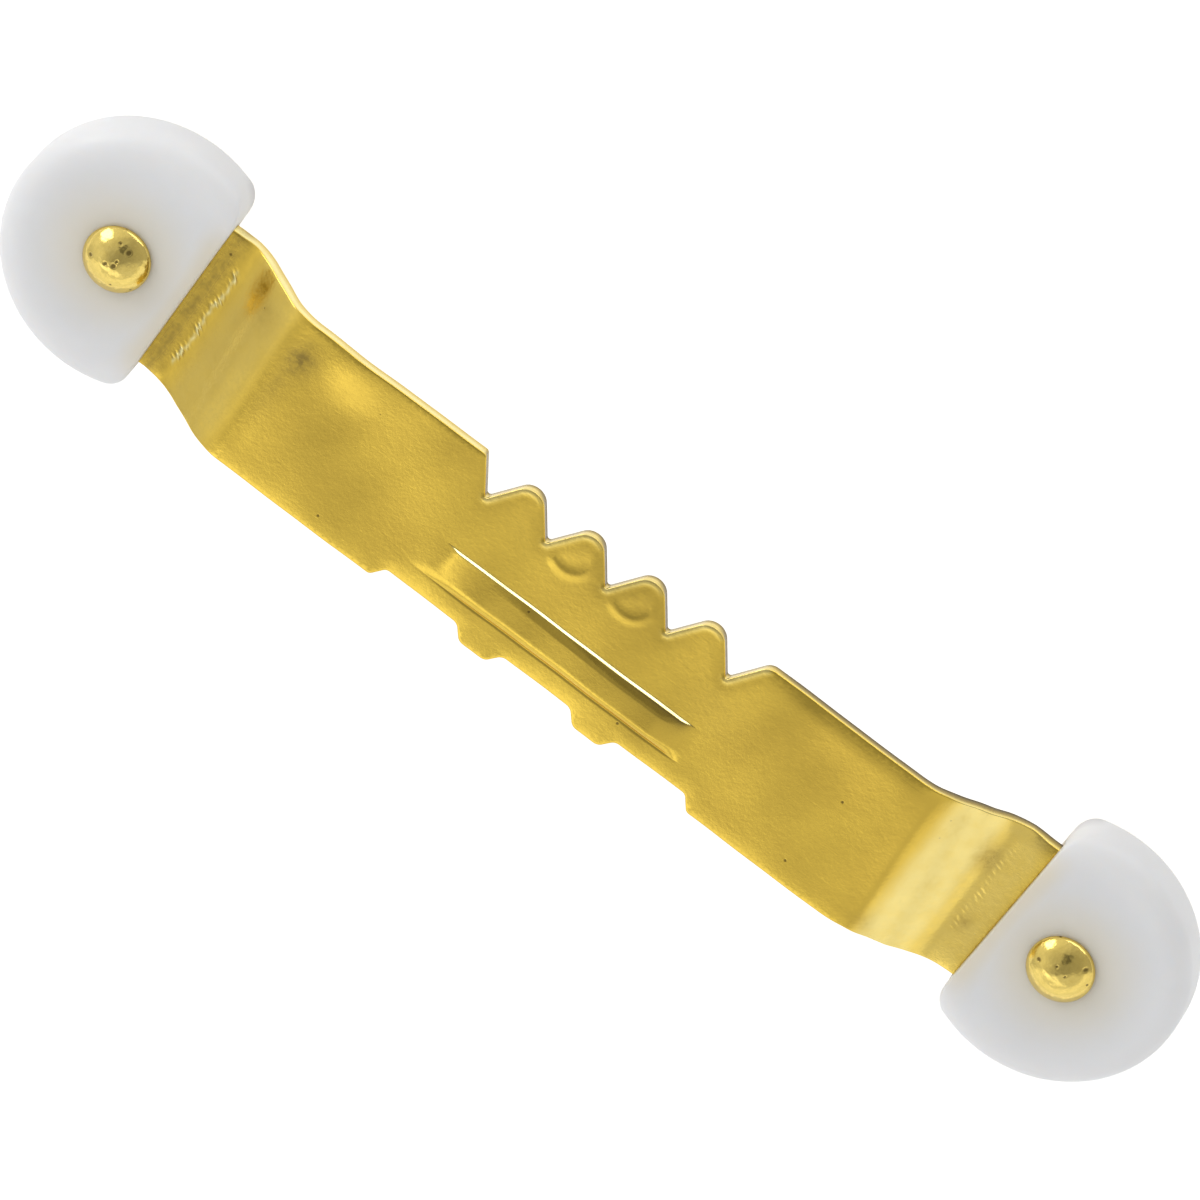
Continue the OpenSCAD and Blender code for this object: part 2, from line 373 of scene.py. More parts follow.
def spaced(points, step):
    """The closed outline with no stretch longer than step."""
    out = []
    for p, q in zip(points, np.roll(points, -1, 0)):
        n = math.ceil(np.linalg.norm(q - p) / step - 1e-9)
        out.extend(p + (q - p) * i / n for i in range(n))
    return np.array(out)


def inward(points):
    """Unit normals of a counter-clockwise outline, towards its inside."""
    along = np.roll(points, -1, 0) - np.roll(points, 1, 0)
    across = np.column_stack([-along[:, 1], along[:, 0]])
    return across / np.linalg.norm(across, axis=1)[:, None]


def circle(x, r):
    """Closed clockwise circle, for a hole."""
    return arc((x, 0), r, 0, -2 * math.pi)[:-1]


def inside(points, outline):
    """Which points lie inside a closed outline."""
    found = np.zeros(len(points), bool)
    x, y = points[:, 0], points[:, 1]
    for (x1, y1), (x2, y2) in zip(outline, np.roll(outline, -1, 0)):
        if y1 != y2:
            crosses = (y1 > y) != (y2 > y)
            found ^= crosses & (x < x1 + (y - y1) * (x2 - x1) / (y2 - y1))
    return found


def distance(points, outline):
    """Distance of each point from a closed outline."""
    best = np.full(len(points), np.inf)
    for p, q in zip(outline, np.roll(outline, -1, 0)):
        d = q - p
        t = np.clip(((points - p) @ d) / (d @ d), 0, 1)
        best = np.minimum(best, np.linalg.norm(points - p - t[:, None] * d, axis=1))
    return best


def nub(x):
    low, high = -HALF_W - LOWER_OUT, RECESS_D - HALF_W - LOWER_OUT
    return [(x - NUB_BASE / 2, high, NUB_R), (x - NUB_TIP / 2, low, NUB_R),
            (x + NUB_TIP / 2, low, NUB_R), (x + NUB_BASE / 2, high, NUB_R)]


def lower_edge():
    low, high = -HALF_W - LOWER_OUT, RECESS_D - HALF_W - LOWER_OUT
    return [(-CAP_END, -HALF_W, EASE_R), (-SLOPE_END, low, SLOPE_R),
            (RECESS_LEFT, low, RECESS_R), (RECESS_LEFT + RECESS_STEP, high, RECESS_R),
            *nub(NUB_X - NUB_SPACING / 2), *nub(NUB_X + NUB_SPACING / 2),
            (RECESS_RIGHT - RECESS_STEP, high, RECESS_R), (RECESS_RIGHT, low, RECESS_R),
            (BULGE_X - BULGE_L, low, EASE_R), (BULGE_X, low - BULGE, EASE_R),
            (SLOPE_END, low, SLOPE_R), (CAP_END, -HALF_W, EASE_R)]


def tooth_edge():
    """Tooth row from right to left: a valley, then a crest, and so on."""
    rise = TOOTH_DEPTH - CREST_R - VALLEY_R
    flank = math.atan2(rise, TOOTH_PITCH / 2)
    flank += math.asin((CREST_R + VALLEY_R) / math.hypot(TOOTH_PITCH / 2, rise))
    crest = HALF_W - CREST_R + CREST_R / math.cos(flank)
    valley = HALF_W - TOOTH_DEPTH + VALLEY_R - VALLEY_R / math.cos(flank)
    margin = (HALF_W - valley) / math.tan(flank)
    half = TOOTH_COUNT * TOOTH_PITCH / 2
    row = []
    for i in range(2 * TOOTH_COUNT + 1):
        x = TOOTH_X + half - i * TOOTH_PITCH / 2
        row.append((x, crest, CREST_R) if i % 2 else (x, valley, VALLEY_R))
    high = HALF_W + UPPER_OUT
    return [(CAP_END, HALF_W, EASE_R), (SLOPE_END, high, SLOPE_R),
            (BULGE_X, high - DIP, EASE_R), (BULGE_X - BULGE_L, high, EASE_R),
            (TOOTH_X + half + margin, high, RIGHT_CORNER_R), *row,
            (TOOTH_X - half - margin + LEFT_LEAN, high, LEFT_CORNER_R),
            (-SLOPE_END, high, SLOPE_R), (-CAP_END, HALF_W, EASE_R)]


def strip_outline():
    ends = [[(*p, 0) for p in arc((s * NAIL_X, 0), HALF_W, -s * math.pi / 2, math.pi)]
            for s in (1, -1)]
    return spaced(rounded([*lower_edge(), *ends[0], *tooth_edge(), *ends[1]]), EDGE_STEP)


# Closed pieces


class Shell:
    """Vertices in millimetres and faces of one closed piece."""

    def __init__(self):
        self.points = np.empty((0, 3))
        self.faces = []

    def add(self, x, y, z):
        start = len(self.points)
        self.points = np.vstack([self.points, np.column_stack(np.broadcast_arrays(x, y, z))])
        return np.arange(start, len(self.points))

    def bridge(self, a, b, closed=True):
        """Quads between two rows of as many vertices."""
        for i in range(len(a) if closed else len(a) - 1):
            j = (i + 1) % len(a)
            self.faces.append((a[i], a[j], b[j], b[i]))

    def fill(self, outer, holes=(), inner=()):
        """Triangles over a loop of vertices, less the holes, through the inner vertices."""
        ids = np.concatenate([outer, *holes, inner]).astype(int)
        flat = self.points[ids, :2]
        edges, start = [], 0
        for loop in (outer, *holes):
            edges += [(start + i, start + (i + 1) % len(loop)) for i in range(len(loop))]
            start += len(loop)
        made = delaunay_2d_cdt([Vector(p) for p in flat], edges, [], 0, 1e-7)
        source = np.array([found[0] for found in made[3]])
        triangles = ids[source[np.array(made[2])]]
        middle = self.points[triangles, :2].mean(1)
        keep = inside(middle, self.points[outer, :2])
        for hole in holes:
            keep &= ~inside(middle, self.points[hole, :2])
        self.faces += [tuple(t) for t in triangles[keep]]

    def object(self, name, material):
        """A smooth-shaded object of the piece, in metres."""
        made = bmesh.new()
        verts = [made.verts.new(p * MM) for p in self.points]
        for face in self.faces:
            made.faces.new([verts[i] for i in face])
        bmesh.ops.recalc_face_normals(made, faces=made.faces)
        mesh = bpy.data.meshes.new(name)
        made.to_mesh(mesh)
        made.free()
        mesh.shade_smooth()
        mesh.materials.append(material)
        made = bpy.data.objects.new(name, mesh)
        bpy.context.scene.collection.objects.link(made)
        return made

    def edge_rings(self, outline, normals, width, steps, z):
        """Rings from a distance inside an outline out to it, closer together towards the edge."""
        rings = []
        for a in np.linspace(0, math.pi / 2, steps + 1):
            inset = np.broadcast_to(width, len(outline)) * (1 - math.sin(a))
            at = outline + normals * inset[:, None]
            rings.append(self.add(at[:, 0], at[:, 1], z(at, inset)))
        for ring, following in zip(rings, rings[1:]):
            self.bridge(ring, following)
        return rings


def place(piece, name, node, body):
    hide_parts(node)
    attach(piece, body)
    piece.name = name
    return piece


def note(piece, name, values):
    """Keeps a number for each vertex, for the material to read."""
    kept = piece.data.attributes.new(name, "FLOAT", "POINT")
    kept.data.foreach_set("value", np.asarray(values, np.float32))


# Strip


def bend_height(u, slope, r, low_r, high_r):
    """Height of one face of a bend at a distance from its foot, over the underside there."""
    s = math.radians(slope)
    mid_r = r + STRIP_T / 2
    straight = (RISE - 2 * mid_r * (1 - math.cos(s))) / math.sin(s)
    run = 2 * mid_r * math.sin(s) + straight * math.cos(s)
    low_end, high_end = low_r * math.sin(s), high_r * math.sin(s)
    low = STRIP_T + r - np.sqrt(low_r ** 2 - np.clip(u, 0, low_end) ** 2)
    slant = np.tan(s) * np.clip(u - low_end, 0, run - high_end - low_end)
    high = np.sqrt(high_r ** 2 - np.clip(run - u, 0, high_end) ** 2) - high_r * math.cos(s)
    return low + slant + high


SIDE_X = np.arange(-NAIL_X - HALF_W - 1, NAIL_X + HALF_W + 1, SIDE_STEP)


def side_profile(top):
    """Height of the strip's top or underside along SIDE_X, with the bends' ends softened."""
    z = np.zeros(len(SIDE_X))
    for sign, (foot, slope, r, blur) in ((1, LEFT_BEND), (-1, RIGHT_BEND)):
        u = NAIL_X - foot + sign * SIDE_X
        radii = (r, r + STRIP_T) if top else (r + STRIP_T, r)
        reach = np.arange(-4 * blur, 4 * blur, SIDE_X[1] - SIDE_X[0])
        weights = np.exp(-(reach / blur) ** 2 / 2)
        pad = len(reach) // 2
        spread = np.pad(bend_height(u, slope, r, *radii), (pad, len(reach) - 1 - pad), mode="edge")
        softened = np.convolve(spread, weights / weights.sum(), mode="valid")
        z = np.where(sign * SIDE_X < 0, softened, z)
    return PLATE_Z + z


SIDE_TOP = side_profile(True)
SIDE_UNDER = side_profile(False)


def bead_flank(x):
    """Height of the bead's crest, and height and width of its steep flank, along the bead."""
    ends = smooth(BEAD_LEFT, BEAD_LEFT + FADE_LEFT, x)
    ends *= smooth(BEAD_RIGHT, BEAD_RIGHT - FADE_RIGHT, x)
    crest = ends * (CREST_LEFT + (CREST_RIGHT - CREST_LEFT) * smooth(*CREST_RISE, x))
    step = FLANK_H * band(FLANK_LEFT, FLANK_RIGHT, FLANK_FADE, x)
    return crest, step, np.maximum(FLANK_W * step / FLANK_H, BEAD_STEP)


def bead_height(x, y):
    """Height of the raised bead, with the crease along its lower side."""
    crest, step, width = bead_flank(x)
    past = FLANK_Y - width - y
    slow = np.minimum(CLIMB, crest - step)
    brow = (crest - step - slow) * (1 - np.clip(1 - past / BROW_W, 0, 1) ** BROW_POWER)
    climb = slow * np.clip(past / (FLANK_Y - width - CREST_Y), 0, 1)
    upper = step * np.clip((FLANK_Y - y) / width, 0, 1) + np.where(past > 0, brow + climb, 0)
    lower = crest * (1 - np.clip((CREST_Y - y) / LOWER_W, 0, 1) ** LOWER_POWER)
    crease = CREASE_D * np.exp(-((y - CREST_Y + LOWER_W) / CREASE_W) ** 2)
    return np.where(y > CREST_Y, upper, lower) - crease * np.clip(crest / CREST_LEFT, 0, 1)


def dent_depth(x, y):
    """Depth of the two dents, less the height of their lips."""
    depth = np.zeros(np.shape(x))
    for s in (-1, 1):
        u, v = x - DENT_X - s * TOOTH_PITCH / 2, y - DENT_Y
        r = np.hypot(u, v)
        top = DENT_R + DENT_RISE
        pan = DENT_D * smooth(*DENT_ROUND, r - DENT_R)
        lip = DENT_LIP * smooth(DENT_R, top, r) * smooth(top + DENT_REACH, top, r)
        depth += (pan - lip) * smooth(*DENT_HALF, DENT_WAY[0] * u + DENT_WAY[1] * v)
    return depth


def sheet_wave(x, y):
    """Slight waves of the strip outside the caps, the same on both faces."""
    wave = sum(h * np.sin(2 * math.pi * (x / along + y / across) + phase)
               for h, along, across, phase in WAVES)
    height, length, skew = SLOPE_WAVE
    slopes = smooth(*SLOPE_START, np.abs(x)) * smooth(*SLOPE_STOP, np.abs(x))
    wave = wave + slopes * height * np.sin(2 * math.pi * (x + skew * y) / length)
    for hill_x, hill_y, hill_h, hill_r in HILLS:
        wave = wave + hill_h * np.exp(-((x - hill_x) ** 2 + (y - hill_y) ** 2) / hill_r ** 2)
    groove = GROOVE_D * np.exp(-((x - GROOVE_X) / GROOVE_W) ** 2)
    lip = LIP_FALL * np.clip((LIP_Y - y) / LIP_W, 0, 1) ** 2
    lip *= band(RECESS_LEFT + LIP_END[0], RECESS_RIGHT - LIP_END[0], LIP_END[1], x)
    return (wave - lip) * smooth(*WAVE_END, np.abs(x)) - groove


def nick_line(at, y):
    """Where a row of nicks that starts at a place runs: it wanders a little."""
    (wide, slow), (narrow, fast) = NICK_WANDER
    return at + wide * np.sin(slow * y + at) + narrow * np.sin(fast * y)


def nick_row(x, y, at, low, high, width):
    """Share of a row of nicks at each point, for a row of some width."""
    ends = band(low + NICK_END, high - NICK_END, NICK_END, y)
    return np.exp(-((x - nick_line(at, y)) / width) ** 2) * ends


def nick_depth(x, y):
    """Depth of the slanting nicks along the bends."""
    depth = np.zeros(np.shape(x))
    (wide, slow), (narrow, fast) = NICK_SPACING
    change, rate = NICK_DEPTH
    for at, low, high, deep in NICKS:
        run = y + NICK_SLANT * (x - at) + wide * np.sin(slow * y) + narrow * np.sin(fast * y + 1)
        wave = 0.5 + 0.5 * np.cos(2 * math.pi * run / NICK_PITCH)
        uneven = 1 - change + change * np.sin(rate * y + at)
        depth += deep * wave * uneven * nick_row(x, y, at, low, high, NICK_W)
    return depth


def edge_fall(x, y, d):
    """How far the face falls towards its edge, at a distance d from it."""
    upper = ROLL_LEFT + (ROLL_TEETH - ROLL_LEFT) * smooth(*ROLL_TEETH_FROM, x)
    upper += (ROLL_RIGHT - ROLL_TEETH) * smooth(*ROLL_RIGHT_FROM, x)
    depth = np.where(y > 0, upper, ROLL_LOWER)
    share = np.clip(1 - d / ROLL_W, 0, 1)
    return depth * (1 + ROLL_CURVE) * share ** 2 / (share + ROLL_CURVE)


def strip_top(at, d):
    x, y = at[:, 0], at[:, 1]
    z = np.interp(x, SIDE_X, SIDE_TOP) + sheet_wave(x, y) + bead_height(x, y)
    return z - dent_depth(x, y) - nick_depth(x, y) - edge_fall(x, y, d)


def strip_under(at):
    x, y = at[:, 0], at[:, 1]
    z = np.interp(x, SIDE_X, SIDE_UNDER) + sheet_wave(x, y)
    return z + UNDER_SHARE * bead_height(x, y) - dent_depth(x, y)


def painted_sheen(x, y):
    """Share of painted pale sheen: highlights on the bead's flank and over the nicks, sheen on the
    slopes.
    """
    _, step, width = bead_flank(x)
    share = band(FLANK_Y - width, FLANK_Y, FLANK_SOFT, y) * np.clip(2 * step / FLANK_H, 0, 1)
    for low, high, strength in SHEEN_SLOPES:
        share = np.maximum(share, strength * band(low, high, SHEEN_SOFT, x))
    deepest = max(nick[3] for nick in NICKS)
    change, rate = SHEEN_UNEVEN
    for at, low, high, deep in NICKS:
        shine = NICK_SHEEN * deep / deepest * nick_row(x, y, at, low, high, NICK_SHINE)
        share = np.maximum(share, shine * (1 - change + change * np.sin(rate * y)))
    return np.maximum(share, np.clip(NICK_GAIN * nick_depth(x, y) / deepest, 0, 1) ** 2)


def stain_and_shade_share(x, y):
    """Strength of the stains, and of the painted shade beside the left cap."""
    return sum(s * np.exp(-((x - u) / du) ** 2 - ((y - v) / dv) ** 2)
               for u, v, du, dv, s in STAIN_AND_SHADE_SPOTS)


def painted_corner_shade(x, y):
    """Share of painted shade in the corner under the bead's flank, thicker to the right."""
    _, step, width = bead_flank(x)
    past = FLANK_Y - width - y
    near = smooth(-FLANK_SOFT, FLANK_SOFT, past) * np.exp(-np.clip(past, 0, None) / CORNER_SHADE_W)
    return CORNER_SHADE * near * np.clip(step / FLANK_H, 0, 1) * smooth(*CORNER_SHADE_RISE, x)


def grid(x0, x1, y0, y1, along, across):
    x, y = np.meshgrid(np.arange(x0, x1, along), np.arange(y0, y1, across))
    return np.column_stack([x.ravel(), y.ravel()])


def fine_zones():
    """Boxes that need a closer mesh, with its spacing along and across."""
    low, high = BEAD_LEFT - BEAD_MARGIN, BEAD_RIGHT + BEAD_MARGIN
    flank_low, flank_high = FLANK_Y - 8 * BEAD_STEP, FLANK_Y + 4.5 * BEAD_STEP
    crease = CREST_Y - LOWER_W
    crease_low, crease_high = crease - 3 * CREASE_W, crease + 5 * CREASE_W
    brow_low = FLANK_Y - FLANK_W - BROW_W - BROW_MARGIN
    yield low, high, flank_low, flank_high, 5 * BEAD_STEP, BEAD_STEP
    yield low, high, brow_low, flank_low - BEAD_STEP, FINE_STEP, BROW_STEP
    yield low, high, crease_high, brow_low - BROW_STEP, FINE_STEP, FINE_STEP
    yield low, high, crease_low, crease_high - BEAD_STEP, FINE_STEP, CREASE_W / 2
    left, right, below, above = DENT_BOX
    for s in (-1, 1):
        x = DENT_X + s * TOOTH_PITCH / 2
        yield x + left, x + right, DENT_Y + below, DENT_Y + above, FINE_STEP, FINE_STEP
    beside, past = NICK_BOX
    for x, low, high, _ in NICKS:
        yield x - beside, x + beside, low - past, high + past, NICK_STEP, NICK_STEP


def strip_points(outline, normals):
    """Points inside the strip's outline: rows along its edge, then grids."""
    rows, fields = [], []
    for inset in np.add(RIM_W, EDGE_ROWS):
        row = (outline + normals * inset)[::2]
        rows.append(row[distance(row, outline) > inset * ROW_SHARE])
    coarse = grid(-NAIL_X - HALF_W, NAIL_X + HALF_W, -HALF_W, HALF_W, GRID_STEP, GRID_STEP)
    for x0, x1, y0, y1, *steps in fine_zones():
        x, y = coarse.T
        coarse = coarse[~((x > x0) & (x < x1) & (y > y0) & (y < y1))]
        fields.append(grid(x0, x1, y0, y1, *steps))
    fields = np.vstack([*fields, coarse])
    fields = fields[inside(fields, outline)]
    fields = fields[distance(fields, outline) > RIM_W + FIELD_GAP]
    points = np.vstack([*rows, fields])
    for s in (-1, 1):
        reach = np.hypot(points[:, 0] - s * NAIL_X, points[:, 1])
        points = points[reach > HOLE_R + HOLE_MARGIN]
    return points


def tooth_facing(outline, normals):
    """How far the tooth row's edge faces the way in which it is worn and lit, at each point of the
    outline.
    """
    facing = np.clip(WORN_AND_LIT_WAY[0] * normals[:, 0] + WORN_AND_LIT_WAY[1] * normals[:, 1], 0, 1)
    facing *= band(TEETH_LEFT, TEETH_RIGHT, TEETH_SOFT, outline[:, 0])
    return facing * (outline[:, 1] > TEETH_LOW)


def wall_marks(outline, normals):
    """Shares of painted highlight and painted shade at the sheared wall's brim, middle and foot:
    highlight on the left and where the wall faces left, shade at its foot and on the right."""
    tooth_side = smooth(-1, 1, outline[:, 1])
    left, right = smooth(*WALL_LEFT, outline[:, 0]), smooth(*WALL_RIGHT, outline[:, 0])
    faces_left, faces_right = np.clip(normals[:, 0], 0, 1), np.clip(-normals[:, 0], 0, 1)
    turned = 0.3 * faces_left - faces_right
    marks = [
        (0.3 + 0.6 * left + 0.3 * right + turned, 0.3 * faces_right),
        ((0.1 + 0.75 * left + turned) * (1 - right), 0.95 * faces_right + 0.5 * right),
        (0 * left, 0.75 + 0.25 * faces_right + 0.25 * right - 0.6 * left),
    ]
    return [(tooth_side * np.clip(sheen, 0, 1), tooth_side * np.clip(painted_shade, 0, 1))
            for sheen, painted_shade in marks]


def make_strip(material):
    shell = Shell()
    outline = strip_outline()
    normals = inward(outline)
    points = strip_points(outline, normals)
    holes = [circle(s * NAIL_X, HOLE_R) for s in (-1, 1)]
    facing = tooth_facing(outline, normals)
    rim = 1 - SHARPER * facing

    def top(at, inset):
        return strip_top(at, inset) - RIM_H * rim * quarter(1 - inset / (RIM_W * rim))

    def under(at, inset):
        return strip_under(at) + BURR * quarter(1 - inset / BURR)

    lean = LEAN * smooth(*LEAN_FROM, outline[:, 1])
    lean *= smooth(CAP_END, SLOPE_END, np.abs(outline[:, 0]))
    brim = outline - normals * lean[:, None]
    upper = shell.edge_rings(brim, normals, RIM_W * rim, ROUND_STEPS, top)
    lower = shell.edge_rings(outline, normals, BURR, ROUND_STEPS, under)
    half_way = (shell.points[upper[-1], 2] + shell.points[lower[-1], 2]) / 2
    wall = shell.add(outline[:, 0], outline[:, 1], half_way)
    shell.bridge(upper[-1], wall)
    shell.bridge(wall, lower[-1])
    hole_upper = [shell.add(h[:, 0], h[:, 1], strip_top(h, ROLL_W)) for h in holes]
    hole_lower = [shell.add(h[:, 0], h[:, 1], strip_under(h)) for h in holes]
    for a, b in zip(hole_upper, hole_lower):
        shell.bridge(a, b)
    face = shell.add(points[:, 0], points[:, 1], strip_top(points, distance(points, outline)))
    shell.fill(upper[0], hole_upper, face)
    back = shell.add(points[:, 0], points[:, 1], strip_under(points))
    shell.fill(lower[0], hole_lower, back)

    # Lip along the worn edges of the teeth
    x, y = shell.points[:, 0], shell.points[:, 1]
    edge_d = distance(shell.points[:, :2], outline)
    edge_facing = np.zeros(len(x))
    for i in np.flatnonzero((edge_d < RAISE_W) & (y > TEETH_LOW)):
        nearest = np.argmin((outline[:, 0] - x[i]) ** 2 + (outline[:, 1] - y[i]) ** 2)
        edge_facing[i] = facing[nearest]
    front = np.concatenate([*upper, face])
    lip = np.clip(1 - edge_d[front] / RAISE_W, 0, 1) ** RAISE_POWER
    shell.points[front, 2] += RAISE * edge_facing[front] * lip
    piece = shell.object("strip", material)

    # Painted sheen, highlights and shade, stains, and edge wear
    sheen, stain_and_shade, painted_shade = painted_sheen(x, y), stain_and_shade_share(x, y), painted_corner_shade(x, y)
    # Painted highlight and painted shade on the sheared wall's brim, middle and foot
    rings = (upper[-1], wall, lower[-1])
    for ring, marks in zip(rings, wall_marks(outline, normals)):
        sheen[ring], painted_shade[ring] = marks
    # The brim along the lower edge is darkened
    stain_and_shade[upper[-1]] = LOWER_BRIM_DARKENING * (1 - smooth(-1, 1, outline[:, 1]))
    # Painted highlight along the teeth's edges that face the light
    sheen = np.maximum(sheen, TOOTH_HIGHLIGHT * edge_facing * np.exp(-(edge_d / TOOTH_HIGHLIGHT_W) ** 2))
    sheen[lower[-1]] = 0
    note(piece, "edge", np.exp(-edge_d / EDGE_W))
    note(piece, "painted_sheen", sheen)
    note(piece, "stain_and_shade", stain_and_shade)
    note(piece, "painted_shade", painted_shade)
    return place(piece, "brass_strip", "hanger_plate", "plate")


# Caps


def cap_outline():
    """Plan of a cap about its nail, counter-clockwise, with the straight side at +x."""
    x = CAP_FLAT - CAP_CORNER_R
    y = math.sqrt((CAP_R - CAP_CORNER_R) ** 2 - (x - CAP_SHIFT) ** 2)
    a = math.atan2(y, x - CAP_SHIFT)
    straight = np.concatenate([
        np.linspace(-y, -SLOT_HALF, FLAT_STEPS + 1)[:-1],
        np.linspace(-SLOT_HALF, SLOT_HALF, SLOT_STEPS + 1),
        np.linspace(SLOT_HALF, y, FLAT_STEPS + 1)[1:],
    ])
    return np.vstack([
        np.column_stack([np.full(len(straight), CAP_FLAT), straight]),
        arc((x, y), CAP_CORNER_R, 0, a)[1:],
        arc((CAP_SHIFT, 0), CAP_R, a, 2 * math.pi - 2 * a)[1:],
        arc((x, -y), CAP_CORNER_R, -a, a)[1:-1],
    ])


def slot_run():
    """Plan of the slot's wall from the straight side's +y end round to its -y end."""
    inwards = np.linspace(CAP_FLAT, 0, RUN_STEPS + 1)[1:-1]
    outwards = np.linspace(0, CAP_FLAT, RUN_STEPS + 1)[1:-1]
    return np.vstack([
        np.column_stack([inwards, np.full(len(inwards), SLOT_HALF)]),
        arc((0, 0), SLOT_HALF, math.pi / 2, math.pi),
        np.column_stack([outwards, np.full(len(outwards), -SLOT_HALF)]),
    ])


def cap_top(at):
    """Height of the cap's front, with its round shoulder."""
    out = np.hypot(at[:, 0] - CAP_SHIFT, at[:, 1]) - CAP_R + SHOULDER_W
    return CAP_H - SHOULDER_H * quarter(out / SHOULDER_W)


def cap_back(at):
    """Height of the cap's back, with its round edge."""
    out = np.hypot(at[:, 0] - CAP_SHIFT, at[:, 1]) - CAP_R + FOOT_R
    return FOOT_R * quarter(out / FOOT_R)


def make_cap(side, material):
    shell = Shell()
    outline = cap_outline()
    normals = inward(outline)
    crisp = CRISP_R * smooth(*CRISP_ZONE, CAP_FLAT - outline[:, 0])

    def top(at, inset):
        return cap_top(at) - crisp * quarter(1 - inset / CRISP_R)

    def back(at, inset):
        return cap_back(at) + crisp * quarter(1 - inset / CRISP_R)

    upper = shell.edge_rings(outline, normals, CAP_RING, CAP_STEPS, top)
    lower = shell.edge_rings(outline, normals, CAP_RING, CAP_STEPS, back)

    # Side wall, in rows that meet the slot's floor and ceiling on the straight side
    on_flat = outline[:, 0] == CAP_FLAT
    window = np.flatnonzero(on_flat & (np.abs(outline[:, 1]) < SLOT_HALF + 1e-6))
    low_z, high_z = back(outline, 0), top(outline, 0)
    wall = []
    for level in (CAP_FLOOR, SLOT_TOP):
        z = low_z + (high_z - low_z) * level / CAP_H
        z[window] = level
        wall.append(shell.add(outline[:, 0], outline[:, 1], z))
    shell.bridge(lower[-1], wall[0])
    shell.bridge(wall[1], upper[-1])
    beside = np.concatenate([np.arange(window[-1], len(outline)), np.arange(window[0] + 1)])
    shell.bridge(wall[0][beside], wall[1][beside], closed=False)

    # Slot and bore
    run = slot_run()
    floor_run = shell.add(run[:, 0], run[:, 1], CAP_FLOOR)
    roof_run = shell.add(run[:, 0], run[:, 1], SLOT_TOP)
    floor = np.concatenate([wall[0][window], floor_run])
    roof = np.concatenate([wall[1][window], roof_run])
    last = len(window) - 1
    shell.bridge(np.append(floor[last:], floor[0]), np.append(roof[last:], roof[0]), closed=False)
    bore = circle(0, BORE_R)
    rings = [shell.add(bore[:, 0], bore[:, 1], z) for z in (0, CAP_FLOOR, SLOT_TOP, CAP_H)]
    shell.bridge(rings[0], rings[1])
    shell.bridge(rings[2], rings[3])
    shell.fill(floor, [rings[1]])
    shell.fill(roof, [rings[2]])

    # Top and back faces
    points = grid(-CAP_R, CAP_R, -CAP_R, CAP_R, CAP_GRID, CAP_GRID)
    points = points[np.hypot(points[:, 0], points[:, 1]) > BORE_R + BORE_MARGIN]
    points = points[inside(points, outline) & (distance(points, outline) > CAP_RING + CAP_MARGIN)]
    shell.fill(upper[0], [rings[3]], shell.add(points[:, 0], points[:, 1], cap_top(points)))
    shell.fill(lower[0], [rings[0]], shell.add(points[:, 0], points[:, 1], cap_back(points)))

    # Painted warm glow of the brass and painted shade at the foot, for the material to read
    x, y, z = shell.points.T
    over_strip = smooth(BRASS_GLOW_W, 0, CAP_FLAT - x) * smooth(HALF_W + 1, HALF_W - 1, np.abs(y))
    brass_glow = np.maximum(BRASS_GLOW * smooth(*BRASS_GLOW_REACH, np.hypot(x, y)), over_strip)
    rim = np.exp(-distance(shell.points[:, :2], outline) / FOOT_SHADE_W) * smooth(*FOOT_SHADE_FADE, z)

    angle = math.radians(TURNS[side] if side == "left" else 180 + TURNS[side])
    spin = np.array([[math.cos(angle), math.sin(angle)], [-math.sin(angle), math.cos(angle)]])
    shell.points[:, :2] = shell.points[:, :2] @ spin
    shell.points[:, 0] += -NAIL_X if side == "left" else NAIL_X
    piece = shell.object(f"{side}_shell", material)
    note(piece, "brass_glow", brass_glow)
    note(piece, "rim", rim)
    soften = piece.modifiers.new("Crisp edges", "WEIGHTED_NORMAL")
    soften.keep_sharp = True
    return place(piece, f"{side}_end_cap", f"{side}_cap", f"{side}_cap")


# Nails


def head_profile():
    """Radius and height pairs of a nail's head, from its top to the neck."""
    ball = (HEAD_R ** 2 + HEAD_DOME ** 2) / (2 * HEAD_DOME)
    centre = HEAD_TOP - ball
    last = math.asin((HEAD_R - RIM_ROUND * 0.6) / ball)
    dome = [(ball * math.sin(last * t), centre + ball * math.cos(last * t))
            for t in np.linspace(0, 1, DOME_STEPS + 1)[1:]]
    rim = [(HEAD_R - 0.06 * RIM_ROUND, CAP_H + HEAD_RIM), (HEAD_R, CAP_H + HEAD_RIM / 2),
           (HEAD_R - 0.1 * RIM_ROUND, CAP_H + 0.2 * RIM_ROUND), (HEAD_R - RIM_ROUND / 2, CAP_H)]
    return dome + rim + [(SHANK_R, CAP_H)]


def neck_profile():
    """Radius and height pairs of the grip ridges, from the head down to the shank."""
    pitch = CAP_H / RIDGES
    pairs = []
    for i in range(RIDGES):
        top = CAP_H - i * pitch
        pairs += [(SHANK_R + RIDGE_H, top - pitch / 2), (SHANK_R, top - pitch)]
    return pairs


